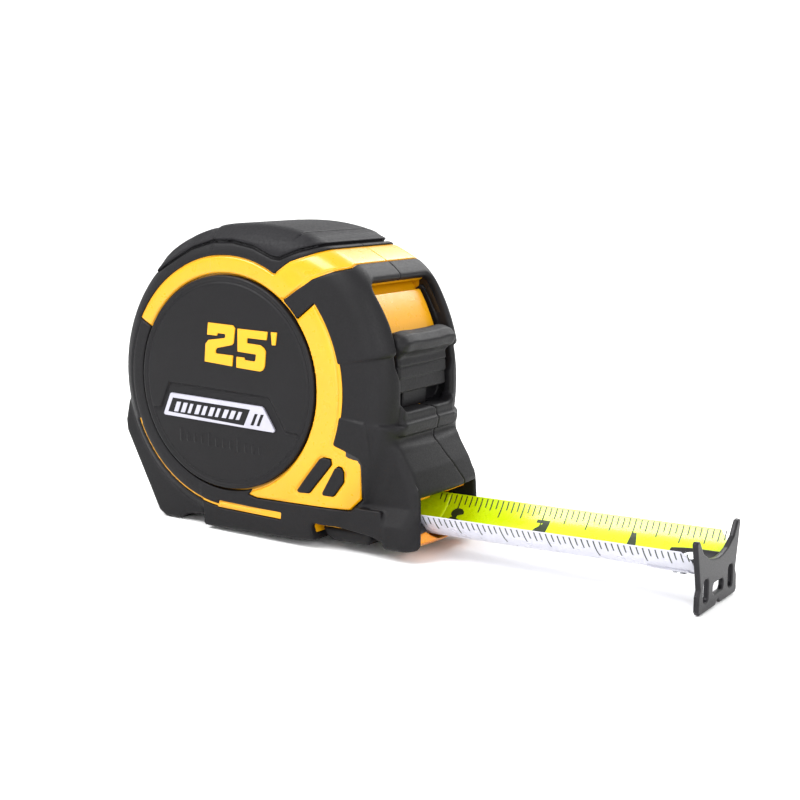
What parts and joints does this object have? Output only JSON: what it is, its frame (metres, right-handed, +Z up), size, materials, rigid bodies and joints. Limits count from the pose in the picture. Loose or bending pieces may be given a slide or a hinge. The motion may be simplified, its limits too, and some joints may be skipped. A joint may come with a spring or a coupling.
{
  "type": "tape measure",
  "caption": "Pocket tape measure: a printed steel blade on a sprung reel in a two-shell case with rubber jackets, thumb lock, finger brake, belt clip and sliding end hook.",
  "frame": {"origin": "on the flat base of the case, straight below the spindle axis, on the centre plane", "axes": "+X along the blade towards the hook, +Y to the left side with the belt clip, +Z up"},
  "size_m": [0.1705, 0.0517, 0.0883],
  "materials": {
    "yellow_abs": "satin moulded ABS",
    "black_rubber": "matt fine-grained overmoulded rubber",
    "grip_rubber": "matt textured rubber",
    "disc_black": "fine satin moulded plastic",
    "silver_plate": "brushed silver plate",
    "mark_yellow": "printed yellow inlay",
    "bright_steel": "turned bright steel",
    "zinc_steel": "zinc plated steel",
    "natural_plastic": "natural moulded plastic",
    "spring_steel": "blued spring steel",
    "liner_plastic": "thin plastic sheet",
    "blade_lime": "lime painted steel strip with clear coat",
    "black_steel": "black coated pressed steel",
    "shoe_rubber": "firm rubber",
    "amber_plastic": "amber moulded plastic",
    "clip_steel": "bright plated spring steel",
    "brass_insert": "turned brass"
  },
  "bodies": {
    "case": {"right_shell": "yellow_abs", "left_shell": "yellow_abs", "right_jacket": "black_rubber", "left_jacket": "black_rubber", "top_grip_pad": "grip_rubber", "right_side_disc": "disc_black", "left_side_disc": "disc_black", "right_nameplate": "silver_plate", "left_nameplate": "silver_plate", "length_mark": "mark_yellow", "spindle": "bright_steel", "spindle_screw": "zinc_steel", "right_friction_disc": "liner_plastic", "left_friction_disc": "liner_plastic", "blade_strip": "blade_lime", "lock_detent_spring": "spring_steel", "brake_pin": "bright_steel", "brake_springs": "spring_steel", "mouth_bumper": "amber_plastic", "blade_guide": "amber_plastic", "case_screws": "zinc_steel", "belt_clip": "clip_steel", "belt_clip_screw": "zinc_steel", "clip_insert": "brass_insert"},
    "reel": {"reel": "natural_plastic", "blade_coil": "blade_lime", "mainspring": "spring_steel"},
    "blade_end": {"blade_end_plate": "zinc_steel", "hook_rivets": "bright_steel"},
    "hook": {"end_hook": "black_steel"},
    "lock": {"lock_slide": "yellow_abs", "thumb_pad": "grip_rubber", "lock_shoe": "shoe_rubber"},
    "brake": {"brake_lever": "yellow_abs", "brake_pad": "grip_rubber"}
  },
  "joints": [
    {"name": "blade_slide", "type": "slide", "parent": "case", "child": "blade_end", "axis": [-1, 0, 0], "range_m": [0, 0.0715], "deforming": ["blade_strip"]},
    {"name": "hook_float", "type": "slide", "parent": "blade_end", "child": "hook", "axis": [1, 0, 0], "range_m": [-0.0008, 0.0008]},
    {"name": "reel_spin", "type": "hinge", "parent": "case", "child": "reel", "pos_m": [0, 0, 0.0403], "axis": [0, 1, 0], "range_deg": [0, 163], "deforming": ["mainspring"]},
    {"name": "lock_slide_arc", "type": "hinge", "parent": "case", "child": "lock", "pos_m": [0, 0, 0.0403], "axis": [0, 1, 0], "range_deg": [0, 4.5]},
    {"name": "brake_pivot", "type": "hinge", "parent": "case", "child": "brake", "pos_m": [0.024, 0, 0.0064], "axis": [0, 1, 0], "range_deg": [-3, 0], "stiffness_Nm_per_rad": 0.6, "springref_deg": 3.44, "deforming": ["brake_springs"]}
  ],
  "couplings": [
    {"joint": "reel_spin", "follows": "blade_slide", "rad_per_m": 39.062}
  ]
}
